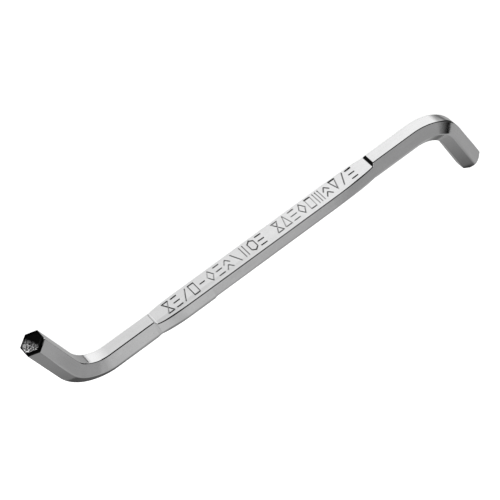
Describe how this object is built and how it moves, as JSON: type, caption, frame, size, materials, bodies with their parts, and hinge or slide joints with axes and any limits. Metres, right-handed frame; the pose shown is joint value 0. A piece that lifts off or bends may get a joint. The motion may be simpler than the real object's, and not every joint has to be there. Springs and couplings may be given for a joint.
{
  "type": "offset hexagon key",
  "caption": "Z-shaped offset hexagon key: one bent length of plated hexagonal steel bar, with a pressed flat panel along the middle and a hexagon drive at each end.",
  "frame": {"origin": "middle of the straight bar, on its centreline", "axes": "+X along the straight bar, towards the end whose leg points to -Y; the legs lie in the XY plane; +Z stands square to the plane of the bends; the marked panel faces -Y"},
  "size_m": [0.1428, 0.0502, 0.009],
  "materials": {
    "plated_steel": "bright zinc plate over drawn steel bar, semi-gloss, with fine drawing lines"
  },
  "bodies": {
    "root": {"hex_key_bar": "plated_steel"}
  },
  "joints": []
}
